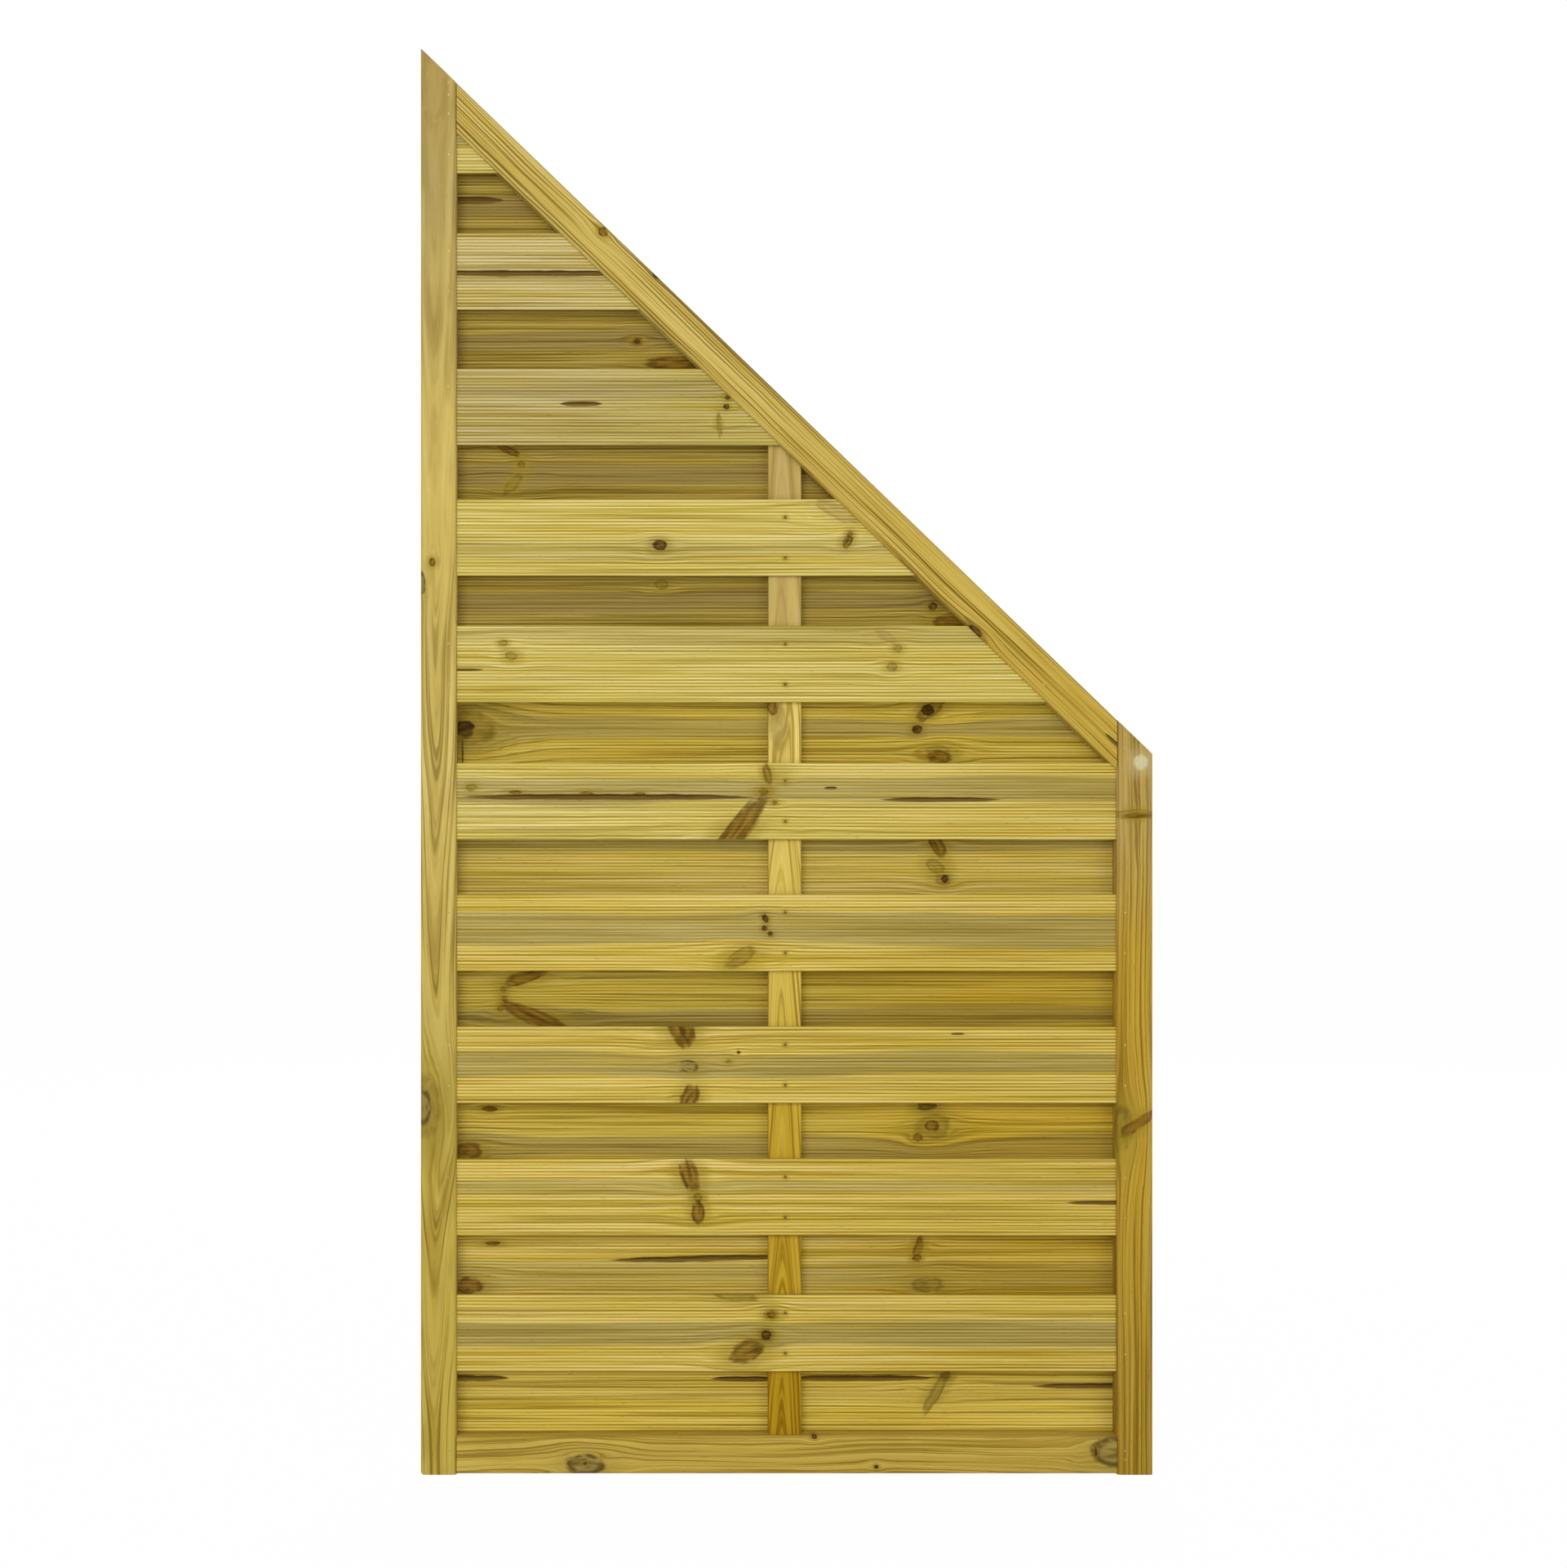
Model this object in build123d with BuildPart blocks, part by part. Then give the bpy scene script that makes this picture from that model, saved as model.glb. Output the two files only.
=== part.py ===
from build123d import *
import os
from math import atan, cos, hypot

# Sloped hit-and-miss fence panel: a twin-grooved frame holds two staggered layers of ribbed slats.
# X runs across the panel, Z runs up and +Y points to the back. The origin is on the ground line,
# midway across the width and the depth. All sizes are in millimetres.

os.makedirs("parts", exist_ok=True)

# Overall size of the panel
panel_width = 900.0
tall_side = 1754.0
short_side = 886.0

# Frame members: two stiles, the sloped top rail and the sill at the bottom
stile_width = 44.0
rail_width = 44.0
sill_height = 45.5
sill_lift = 1.2
lip_thickness = 6.0
groove_depth = 20.0
seat_clearance = 2.0
edge_round = 4.0
inner_round = 5.5
foot_round = 4.0

# Slats and the batten between the two layers
slat_rows = 10
slat_width = 94.0
slat_thickness = 7.0
rib_count = 24
rib_depth = 0.7
batten_width = 40.5
batten_thickness = 18.0
batten_round = 1.5
batten_shift = -1.5

# How far each front slat was nailed off its even spacing, top row first
row_drift = (-2.0, -6.0, -9.0, -6.0, 2.0, -3.0, -1.0, 0.0, 1.0, -2.5)

# Brads: square wire, two at every crossing of a slat and two through every front tenon
brad_side = 1.8
brad_spread = 50.0
brad_margin = 6.0
stile_brad_inset = 10.0
rail_brad_inset = 13.0
slat_cover = 1.0
batten_hold = 11.0
tenon_hold = 24.0
corner_brad_spacing = 11.0

# Sizes that follow from the ones above
frame_depth = 2 * (lip_thickness + slat_thickness) + batten_thickness
groove_middle = (batten_thickness + slat_thickness) / 2
rail_core = rail_width - groove_depth
seat_depth = rail_core + seat_clearance
half_width = panel_width / 2
inner_half = half_width - stile_width
seat_half = inner_half + groove_depth - seat_clearance
sill_top = sill_lift + sill_height
fall = (tall_side - short_side) / panel_width
fall_angle = atan(fall)
slope_length = hypot(panel_width, tall_side - short_side)
stile_brad_x = inner_half + stile_brad_inset
frame_brad_length = lip_thickness + slat_thickness - slat_cover
batten_brad_length = slat_thickness + batten_hold
corner_brad_length = lip_thickness + tenon_hold
FRONT = -1
BACK = 1
LAYERS = (FRONT, BACK)


def slope_height(x, depth):
    """Height at x of the line that lies the given depth below the sloped top, square to it."""
    return tall_side - (x + half_width) * fall - depth / cos(fall_angle)


def slope_reach(z, depth):
    """Place across the panel where that line comes down to the height z."""
    return (tall_side - depth / cos(fall_angle) - z) / fall - half_width


# Rows: the lowest back slat rests on the sill and the top front slat is centred on the opening's apex
lowest_row = sill_top + slat_width / 2
apex = slope_height(-inner_half, rail_width)
row_pitch = (apex - lowest_row) / (slat_rows - 0.5)
front_rows = [
    apex - row * row_pitch + row_drift[row % len(row_drift)]
    for row in range(slat_rows)
]
back_rows = [(upper + lower) / 2 for upper, lower in zip(front_rows, front_rows[1:])] + [lowest_row]
layer_rows = {FRONT: front_rows, BACK: back_rows}


def brad_heights(height):
    """Heights of the two brads at each crossing of the slat that is centred on this height."""
    return height - brad_spread / 2, height + brad_spread / 2


def left_stile_brads(height):
    """Brads through the left stile's lip into one slat, as (x, z)."""
    top = slope_height(-stile_brad_x, seat_depth + brad_margin)
    return [(-stile_brad_x, min(z, top)) for z in brad_heights(height)]


def rail_brads(height):
    """Brads through the sloped rail's lip into one slat, as (x, z)."""
    points = [(slope_reach(z, rail_width - rail_brad_inset), z) for z in brad_heights(height)]
    return [(x, z) for x, z in points if abs(x) < inner_half - brad_margin]


def right_stile_brads(height):
    """Brads through the right stile's lip into one slat, as (x, z)."""
    top = slope_height(stile_brad_x, seat_depth + brad_margin)
    return [(stile_brad_x, z) for z in brad_heights(height) if z < top]


def batten_brads(height):
    """Brads through one slat into the batten, as (x, z), where the pair clears the sloped rail."""
    top = slope_height(batten_shift, rail_width + brad_margin)
    heights = brad_heights(height)
    return [(batten_shift, z) for z in heights] if max(heights) < top else []


def driven(points, layer, face, length):
    """Brad centres for (x, z) points, with the heads flush at the given distance from mid depth."""
    return [(x, layer * (face - length / 2), z) for x, z in points]


def frame_driven(points, layer):
    """Centres of the brads that are driven through a lip of the frame."""
    return driven(points, layer, frame_depth / 2, frame_brad_length)


def batten_driven(points, layer):
    """Centres of the brads that are driven through a slat into the batten."""
    return driven(points, layer, frame_depth / 2 - lip_thickness, batten_brad_length)


def every_row(brads, place):
    """Brad centres of one kind over both layers of slats."""
    return [
        centre
        for layer, rows in layer_rows.items()
        for height in rows
        for centre in place(brads(height), layer)
    ]


# Two brads through every front tenon, set square to the slope at the top and upright at the sill
corner_points = []
for x in (-stile_brad_x, stile_brad_x):
    for step in (-corner_brad_spacing / 2, corner_brad_spacing / 2):
        corner_points.append((x, slope_height(x, rail_core / 2 + step)))
        corner_points.append((x, sill_lift + sill_height / 2 + step))
corner_centres = driven(corner_points, FRONT, frame_depth / 2, corner_brad_length)


def save(piece, name):
    """Names a finished piece and writes it."""
    piece.label = name
    export_step(piece, f"parts/{name}.step")


def below_slope(depth, corner=0.0):
    """Front outline of the panel down from a line parallel to the slope, with eased lower corners."""
    with BuildSketch(Plane.XZ) as outline:
        with BuildLine():
            Polyline(
                (-half_width, 0),
                (half_width, 0),
                (half_width, slope_height(half_width, depth)),
                (-half_width, slope_height(-half_width, depth)),
                close=True,
            )
        make_face()
        if corner:
            fillet(outline.vertices().group_by(Axis.Y)[0], corner)
    return outline.sketch


def make_stile(side, holes):
    """Twin-grooved upright on the left (side -1) or the right (side 1), cut to the slope at its top."""
    inner, outer = (-1, 0) if side < 0 else (0, -1)
    groove_x = side * (inner_half + groove_depth / 2)
    with BuildPart() as stile:
        with BuildSketch() as section:
            with Locations((side * (half_width - stile_width / 2), 0)):
                Rectangle(stile_width, frame_depth)
            fillet(section.vertices().group_by(Axis.X)[inner], inner_round)
            fillet(section.vertices().group_by(Axis.X)[outer], edge_round)
            with Locations(*[(groove_x, layer * groove_middle) for layer in LAYERS]):
                Rectangle(groove_depth, slat_thickness, mode=Mode.SUBTRACT)
        extrude(amount=tall_side)
        extrude(below_slope(0, foot_round), amount=frame_depth, both=True, mode=Mode.INTERSECT)
        with Locations(*holes):
            Box(brad_side, frame_brad_length, brad_side, mode=Mode.SUBTRACT)
        with Locations(*[centre for centre in corner_centres if centre[0] * side > 0]):
            Box(brad_side, corner_brad_length, brad_side, mode=Mode.SUBTRACT)
    return stile.part


save(make_stile(-1, every_row(left_stile_brads, frame_driven)), "left_stile")
save(make_stile(1, every_row(right_stile_brads, frame_driven)), "right_stile")

# Sloped top rail: two grooves underneath, and twin stub tenons in each stile's grooves
slope_direction = Vector(panel_width, 0, short_side - tall_side)
with BuildPart() as sloped_top_rail:
    with BuildSketch(Plane((-half_width, 0, tall_side), x_dir=(0, 1, 0), z_dir=slope_direction)) as section:
        with Locations((0, -rail_width / 2)):
            Rectangle(frame_depth, rail_width)
        fillet(section.vertices().group_by(Axis.Y)[0], inner_round)
        fillet(section.vertices().group_by(Axis.Y)[-1], edge_round)
        with Locations(*[(layer * groove_middle, groove_depth / 2 - rail_width) for layer in LAYERS]):
            Rectangle(slat_thickness, groove_depth, mode=Mode.SUBTRACT)
    extrude(amount=slope_length)
    with BuildSketch(Plane.XZ):
        Rectangle(2 * inner_half, 2 * tall_side)
    extrude(amount=frame_depth, both=True, mode=Mode.INTERSECT)
    for layer in LAYERS:
        with BuildSketch(Plane.XZ.offset(-layer * groove_middle)):
            with BuildLine():
                Polyline(
                    (-seat_half, slope_height(-seat_half, rail_core)),
                    (seat_half, slope_height(seat_half, rail_core)),
                    (seat_half, slope_height(seat_half, 0)),
                    (-seat_half, slope_height(-seat_half, 0)),
                    close=True,
                )
            make_face()
        extrude(amount=slat_thickness / 2, both=True)
    with Locations(*every_row(rail_brads, frame_driven)):
        Box(brad_side, frame_brad_length, brad_side, mode=Mode.SUBTRACT)
    with Locations(*[centre for centre in corner_centres if centre[2] > sill_top]):
        Box(brad_side, corner_brad_length, brad_side, mode=Mode.SUBTRACT)
save(sloped_top_rail.part, "sloped_top_rail")

# Sill: a plain top face for the batten and the lowest back slat, and twin stub tenons at each end
with BuildPart() as sill:
    with BuildSketch(Plane.YZ.offset(-inner_half)) as section:
        with Locations((0, sill_lift + sill_height / 2)):
            Rectangle(frame_depth, sill_height)
        fillet(section.vertices().group_by(Axis.Y)[-1], inner_round)
        fillet(section.vertices().group_by(Axis.Y)[0], edge_round)
    extrude(amount=2 * inner_half)
    with BuildSketch(Plane.YZ.offset(-seat_half)):
        with Locations(*[(layer * groove_middle, sill_lift + sill_height / 2) for layer in LAYERS]):
            Rectangle(slat_thickness, sill_height)
    extrude(amount=2 * seat_half)
    with Locations(*[centre for centre in corner_centres if centre[2] < sill_top]):
        Box(brad_side, corner_brad_length, brad_side, mode=Mode.SUBTRACT)
save(sill.part, "sill")

# Centre batten: stands on the sill and is cut to the sloped rail's underside
with BuildPart() as centre_batten:
    with BuildSketch(Plane.XY.offset(sill_top)) as section:
        with Locations((batten_shift, 0)):
            Rectangle(batten_width, batten_thickness)
        fillet(section.vertices(), batten_round)
    extrude(amount=tall_side - sill_top)
    extrude(below_slope(rail_width), amount=frame_depth, both=True, mode=Mode.INTERSECT)
    with Locations(*every_row(batten_brads, batten_driven)):
        Box(brad_side, batten_brad_length, brad_side, mode=Mode.SUBTRACT)
save(centre_batten.part, "centre_batten")


def ribbed_section(height, face):
    """Points of a slat's section in Y and Z: fine ribs up its front face and a plain back."""
    low = height - slat_width / 2
    rib_pitch = slat_width / rib_count
    ribs = [
        (face + (rib_depth if step % 2 == 0 else 0), low + step * rib_pitch / 2)
        for step in range(2 * rib_count + 1)
    ]
    return ribs + [(face + slat_thickness, low + slat_width), (face + slat_thickness, low)]


def make_slat(height, layer):
    """One slat of a layer, centred on a height, cut to the slope and drilled for its brads."""
    face = batten_thickness / 2 if layer == BACK else -batten_thickness / 2 - slat_thickness
    frame_points = left_stile_brads(height) + rail_brads(height) + right_stile_brads(height)
    with BuildPart() as slat:
        with BuildSketch(Plane.YZ.offset(-seat_half)):
            with BuildLine():
                Polyline(*ribbed_section(height, face), close=True)
            make_face()
        extrude(amount=2 * seat_half)
        extrude(below_slope(seat_depth), amount=frame_depth, both=True, mode=Mode.INTERSECT)
        with Locations(*frame_driven(frame_points, layer)):
            Box(brad_side, frame_brad_length, brad_side, mode=Mode.SUBTRACT)
        if batten_brads(height):
            with Locations(*batten_driven(batten_brads(height), layer)):
                Box(brad_side, batten_brad_length, brad_side, mode=Mode.SUBTRACT)
    return slat.part


for layer, layer_name in ((FRONT, "front"), (BACK, "back")):
    for number, height in enumerate(layer_rows[layer], start=1):
        save(make_slat(height, layer), f"{layer_name}_slat_{number:02d}")


def make_brads(centres, length):
    """A group of equal brads."""
    with BuildPart() as brads:
        with Locations(*centres):
            Box(brad_side, length, brad_side)
    return brads.part


for brads, group in (
    (left_stile_brads, "left_stile_brads"),
    (right_stile_brads, "right_stile_brads"),
    (rail_brads, "top_rail_brads"),
):
    save(make_brads(every_row(brads, frame_driven), frame_brad_length), group)
save(make_brads(every_row(batten_brads, batten_driven), batten_brad_length), "batten_brads")
save(make_brads(corner_centres, corner_brad_length), "corner_brads")
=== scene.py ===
"""Looks of a sloped hit-and-miss fence panel in pressure-treated pine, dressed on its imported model."""

import logging
import math
from dataclasses import dataclass, field
from enum import Enum
from typing import Mapping, Optional, Sequence, Union

import bmesh
import bpy
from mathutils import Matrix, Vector

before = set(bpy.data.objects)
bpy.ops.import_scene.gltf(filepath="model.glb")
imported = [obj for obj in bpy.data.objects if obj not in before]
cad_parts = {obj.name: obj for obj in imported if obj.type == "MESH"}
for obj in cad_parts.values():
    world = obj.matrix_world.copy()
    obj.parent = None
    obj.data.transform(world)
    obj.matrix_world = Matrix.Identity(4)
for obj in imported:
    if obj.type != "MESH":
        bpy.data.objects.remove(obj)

LOG = logging.getLogger("fence_panel")
Triple = tuple[float, float, float]
Rgb = Triple
Span = tuple[float, float]

# Sizes of the panel in millimetres.
MM = 0.001
PANEL_WIDTH = 900.0
TALL_SIDE = 1754.0
SHORT_SIDE = 886.0
FRONT_FACE = -22.0
SLAT_HEIGHT = 94.0
SLAT_RIBS = 24
SLAT_MIDDLE = 12.5

# A length so great that the axis it measures has no effect.
IGNORED = 1.0e5
# How far the knots of the frame reach in from the front face.
SHALLOW = 16.0
# The value that noise keeps to on average.
MEAN = 0.5
# Where the noise of a seed is read.
SEED_STEP = (17.3, 5.7, 29.9)
SEED_START = (3.1, 1.9, 7.7)
# Seeds of the slats, to which the number of the row is added.
FRONT_SEED = 1.0
BACK_SEED = 21.0
# Whole ribs added to a place across the ribs, so that it never falls below 0.
RIBS_BELOW = 100.0
WHITE = (1.0, 1.0, 1.0, 1.0)


def srgb(red: int, green: int, blue: int) -> Rgb:
    """Turn a colour as a screen shows it into the linear one that shaders use.

    Args:
        red: Red from 0 to 255.
        green: Green from 0 to 255.
        blue: Blue from 0 to 255.

    Returns:
        The linear colour.
    """
    shares = [value / 255.0 for value in (red, green, blue)]
    linear = [s / 12.92 if s <= 0.04045 else ((s + 0.055) / 1.055) ** 2.4 for s in shares]
    return linear[0], linear[1], linear[2]


def shaded(colour: Rgb, shade: float) -> Rgb:
    """Return a colour made lighter or darker by a factor."""
    return colour[0] * shade, colour[1] * shade, colour[2] * shade


class Lay(Enum):
    """Which way a timber's grain runs, as its turn about the depth axis in radians."""

    LEVEL = 0.0
    UPRIGHT = -math.pi / 2
    SLOPED = math.atan2(TALL_SIDE - SHORT_SIDE, PANEL_WIDTH)


@dataclass(frozen=True)
class Figure:
    """One noise: the size of its features along three axes, a seed of its own and its detail."""

    stretch: Triple
    seed: float
    detail: float = 1.0


class Wood(Enum):
    """The noises of the wood, in millimetres. Edge of the heart and bands run by ring, length and depth."""

    BOW = Figure((300.0, 300.0, 300.0), 0.4)
    WAVER = Figure((260.0, 90.0, 60.0), 0.0)
    RIPPLE = Figure((42.0, 20.0, 12.0), 0.7)
    HEART_EDGE = Figure((26.0, 300.0, 60.0), 2.1)
    BAND = Figure((9.0, 320.0, 100.0), 3.3, 2.0)
    MOTTLE = Figure((90.0, 40.0, 16.0), 8.3)
    FIBRE = Figure((60.0, 1.0, 0.8), 4.7)
    FLECK = Figure((16.0, 6.0, 0.9), 5.3)
    # Patches where the painted highlight and shade of the ribs show more or less strongly.
    RIB_PATCHES = Figure((160.0, 60.0, 5.0), 5.9)
    KNOT_WEAR = Figure((14.0, IGNORED, 9.0), 6.9)
    FRAY = Figure((26.0, 20.0, 5.0), 7.1, 3.0)


@dataclass(frozen=True)
class KnotFinish:
    """Colours of a knot's core, rim and halo, and how strongly each shows."""

    core: Rgb
    rim: Rgb
    halo: Rgb
    core_share: float
    rim_share: float
    halo_share: float


class KnotKind(Enum):
    """The sorts of knot in the timber."""

    BLACK = KnotFinish(srgb(84, 54, 16), srgb(40, 26, 8), srgb(136, 110, 34), 0.95, 0.8, 0.55)
    BROWN = KnotFinish(srgb(132, 95, 25), srgb(74, 48, 9), srgb(151, 127, 36), 0.9, 0.6, 0.55)
    GREEN = KnotFinish(srgb(146, 122, 42), srgb(102, 82, 22), srgb(154, 132, 44), 0.65, 0.45, 0.5)
    GREY = KnotFinish(srgb(146, 129, 70), srgb(82, 64, 22), srgb(158, 136, 62), 0.75, 0.85, 0.35)
    FAINT = KnotFinish(srgb(168, 143, 82), srgb(142, 116, 56), srgb(176, 150, 70), 0.6, 0.3, 0.3)
    RESIN = KnotFinish(srgb(214, 212, 172), srgb(186, 178, 130), srgb(190, 170, 112), 0.8, 0.3, 0.5)


@dataclass(frozen=True)
class Knot:
    """One knot, in millimetres along and across the grain of its timber and in from the panel's front."""

    along: float
    across: float
    long_radius: float
    short_radius: float
    tilt: float = 0.0
    kind: KnotKind = KnotKind.BROWN
    pull: float = 0.8
    depth: float = IGNORED

    def reach(self) -> Triple:
        """Return how far from the knot the grain bends."""
        return 2.6 * self.long_radius + 8.0, IGNORED, 2.0 * self.short_radius + 4.0

    def streak(self) -> Figure:
        """Return the noise inside the knot, in units of its radii."""
        return Figure((1.4, IGNORED, 0.6), 0.01 * self.along, 2.0)


@dataclass(frozen=True)
class Crack:
    """One lens-shaped split along the grain, in millimetres."""

    start: float
    end: float
    across: float
    width: float
    tilt: float = 0.0


@dataclass(frozen=True)
class Drift:
    """A slow change of tone along a timber, between two places along its grain."""

    tone: Rgb
    start: float
    end: float
    strength: float = 1.0


@dataclass(frozen=True)
class Grain:
    """How the growth rings of a timber lie, in millimetres.

    An arch and a lean give the rings pointed ends, and a fade says between which places they grow faint.
    """

    heart_across: float = 0.0
    heart_reach: float = 13.0
    heart_depth: float = 1.0
    ring_step: float = 2.8
    waver: float = 1.6
    ripple: float = 0.5
    arch: float = 0.0
    lean: float = 0.0
    fade: Optional[Span] = None

    def lines(self) -> Figure:
        """Return the noise of the rings, by ring, length and depth."""
        return Figure((self.ring_step, 420.0, 200.0), 1.3, 2.0)


@dataclass(frozen=True)
class RingLook:
    """How rings, heartwood and fibres show: lengths in millimetres, spans of noise and shares of colour."""

    slant: float = 0.7
    bow: float = 20.0
    faded: float = 0.35
    heart_wander: float = 24.0
    heart_fray: float = 8.0
    heart_edge: float = 3.0
    heart_calm: float = 0.6
    stained: Span = (0.5, 0.7)
    stain_share: float = 0.8
    bleached: Span = (0.46, 0.3)
    bleach_share: float = 0.35
    mottled: Span = (0.45, 0.7)
    light: Span = (0.52, 0.36)
    light_fibre: float = 0.35
    dark: Span = (0.51, 0.64)
    dark_fibre: float = 0.3
    flecked: Span = (0.7, 0.8)
    fleck_share: float = 0.55
    fleck_shade: float = 0.6
    relief: float = 0.3
    dark_rough: float = 0.1


@dataclass(frozen=True)
class RibLook:
    """How the ribs' painted light shows: spans of noise, shares, and factors on the colour for the painted
    highlight on the crests and the painted shade, with some dust, in the valleys.
    """

    follow: float = 0.15
    # Patches where the painted highlight and shade of the ribs show more strongly.
    patchy: Span = (0.2, 0.7)
    patchy_share: float = 0.7
    least_share: float = 0.5
    heart_calm: float = 0.25
    # Painted highlight on the rib crests, and painted shade with some dust in the rib valleys.
    crest_highlight: Rgb = (1.3, 1.32, 1.6)
    valley_shade_and_dust: Rgb = (0.7, 0.68, 0.46)


@dataclass(frozen=True)
class KnotLook:
    """How the knots show: the bend of the grain round them, and spans of their radii or of noise."""

    bend_fall: float = 0.3
    bend_ripple: float = 6.0
    least_near: float = 0.1
    streaked_radius: float = 3.0
    uneven: float = 0.8
    halo_near: Span = (0.02, 0.8)
    halo: Span = (3.2, 1.0)
    streaks: Span = (0.3, 0.5)
    streak_share: float = 0.9
    core: Span = (1.25, 0.75)
    patchy: Span = (0.62, 0.42)
    patchy_share: float = 0.25
    rim_inside: Span = (0.6, 0.95)
    rim_outside: Span = (1.3, 1.0)
    rim_breaks: Span = (0.3, 0.55)


@dataclass(frozen=True)
class SplitLook:
    """How the splits show: their ragged lens in units of half their size, the colours of the painted shade
    inside them and of the painted shadow along one side, and their depth.
    """

    floor: float = 0.03
    fray: float = 1.2
    taper: float = 4.0
    lens: Span = (1.8, 1.0)
    # Painted shade inside the split, and a darker painted shadow along one side of it.
    split_shade_tone: Rgb = srgb(106, 78, 28)
    split_shade_share: float = 0.9
    shadow_side: Span = (-0.2, 0.8)
    split_shadow_tone: Rgb = srgb(62, 43, 14)
    split_shadow_share: float = 0.8
    relief: float = 3.0


@dataclass(frozen=True)
class SurfaceLook:
    """How the sawn surface takes the light, with the bump's height in metres."""

    bump: float = 0.5
    bump_height: float = 0.0006
    specular: float = 0.06


RINGS = RingLook()
RIBS = RibLook()
KNOTS = KnotLook()
SPLITS = SplitLook()
SURFACE = SurfaceLook()


@dataclass(frozen=True)
class TimberFinish:
    """Tones of treated pine, and how strongly its growth rings show."""

    sap: Rgb
    pale: Rgb
    late: Rgb
    heart: Rgb
    stain: Rgb
    pale_share: float = 0.45
    late_share: float = 0.4
    heart_share: float = 0.95
    mottle_share: float = 0.0
    # How strongly the painted highlight on the rib crests and the painted shade in the valleys show.
    rib_share: float = 0.0
    rough: float = 0.7


class Pine(Enum):
    """The treated pine finishes on this panel."""

    PALE_SLAT = TimberFinish(
        srgb(207, 186, 92), srgb(229, 214, 146), srgb(144, 122, 44), srgb(171, 153, 86), srgb(197, 172, 64),
        late_share=0.55, rib_share=0.95,
    )
    GOLD_SLAT = TimberFinish(
        srgb(206, 180, 80), srgb(227, 206, 132), srgb(136, 111, 32), srgb(165, 147, 78), srgb(194, 166, 52),
        late_share=0.5, rib_share=0.9,
    )
    DIM_SLAT = TimberFinish(
        srgb(162, 139, 57), srgb(186, 165, 92), srgb(96, 78, 20), srgb(142, 121, 62), srgb(144, 116, 38),
        late_share=0.6, rib_share=0.8,
    )
    BACK_SLAT = TimberFinish(
        srgb(188, 162, 58), srgb(210, 190, 102), srgb(112, 92, 22), srgb(160, 140, 70), srgb(168, 140, 40),
        late_share=0.6, rib_share=0.7,
    )
    STILE = TimberFinish(
        srgb(200, 176, 91), srgb(214, 193, 120), srgb(122, 98, 34), srgb(180, 156, 86), srgb(170, 144, 70),
        pale_share=0.55, late_share=0.7, heart_share=0.3, mottle_share=0.65,
    )
    RAIL = TimberFinish(
        srgb(198, 173, 85), srgb(212, 191, 118), srgb(118, 92, 30), srgb(184, 157, 80), srgb(180, 149, 60),
        pale_share=0.6, late_share=0.9, heart_share=0.3, mottle_share=0.35,
    )
    OCHRE = TimberFinish(
        srgb(183, 149, 46), srgb(203, 172, 74), srgb(106, 76, 12), srgb(166, 134, 50), srgb(156, 120, 34),
        pale_share=0.45, late_share=0.6, heart_share=0.3, mottle_share=0.3,
    )
    SILL = TimberFinish(
        srgb(188, 160, 66), srgb(206, 182, 96), srgb(114, 90, 26), srgb(170, 144, 64), srgb(162, 132, 48),
        pale_share=0.5, late_share=0.6, heart_share=0.3, mottle_share=0.3,
    )
    BATTEN = TimberFinish(
        srgb(212, 188, 88), srgb(226, 208, 122), srgb(150, 120, 34), srgb(204, 178, 94), srgb(190, 160, 76),
        pale_share=0.5, late_share=0.8, heart_share=0.3, mottle_share=0.3,
    )


class Field:
    """A number or colour that varies over a surface: a socket that takes part in Python arithmetic."""

    def __init__(self, tree: "ShaderTree", socket: bpy.types.NodeSocket) -> None:
        """Wrap one output socket of a tree."""
        self.tree = tree
        self.socket = socket

    def _math(self, operation: str, *values: "Value") -> "Field":
        """Return the result of one Math node."""
        return self.tree.field("ShaderNodeMath", {"operation": operation}, dict(enumerate(values)))

    def __add__(self, other: "Value") -> "Field":
        """Return self + other."""
        return self._math("ADD", self, other)

    def __radd__(self, other: "Value") -> "Field":
        """Return other + self."""
        return self._math("ADD", other, self)

    def __sub__(self, other: "Value") -> "Field":
        """Return self - other."""
        return self._math("SUBTRACT", self, other)

    def __rsub__(self, other: "Value") -> "Field":
        """Return other - self."""
        return self._math("SUBTRACT", other, self)

    def __mul__(self, other: "Value") -> "Field":
        """Return self * other."""
        return self._math("MULTIPLY", self, other)

    def __rmul__(self, other: "Value") -> "Field":
        """Return other * self."""
        return self._math("MULTIPLY", other, self)

    def __truediv__(self, other: "Value") -> "Field":
        """Return self / other."""
        return self._math("DIVIDE", self, other)

    def __pow__(self, other: "Value") -> "Field":
        """Return self ** other."""
        return self._math("POWER", self, other)

    def __rpow__(self, other: "Value") -> "Field":
        """Return other ** self."""
        return self._math("POWER", other, self)

    def __abs__(self) -> "Field":
        """Return the size without the sign."""
        return self._math("ABSOLUTE", self)

    def most(self, other: "Value") -> "Field":
        """Return the larger of two values."""
        return self._math("MAXIMUM", self, other)

    def fraction(self) -> "Field":
        """Return what is left after the whole part."""
        return self._math("FRACT", self)

    def ease(self, none: float, full: float) -> "Field":
        """Ease from 0 to 1 between two values.

        Args:
            none: The value that gives 0.
            full: The value that gives 1, above or below the other.

        Returns:
            The eased share.
        """
        settings = {"interpolation_type": "SMOOTHSTEP"}
        return self.tree.field("ShaderNodeMapRange", settings, {0: self, 1: none, 2: full})


Value = Union[Field, float, Sequence[float]]


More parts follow.
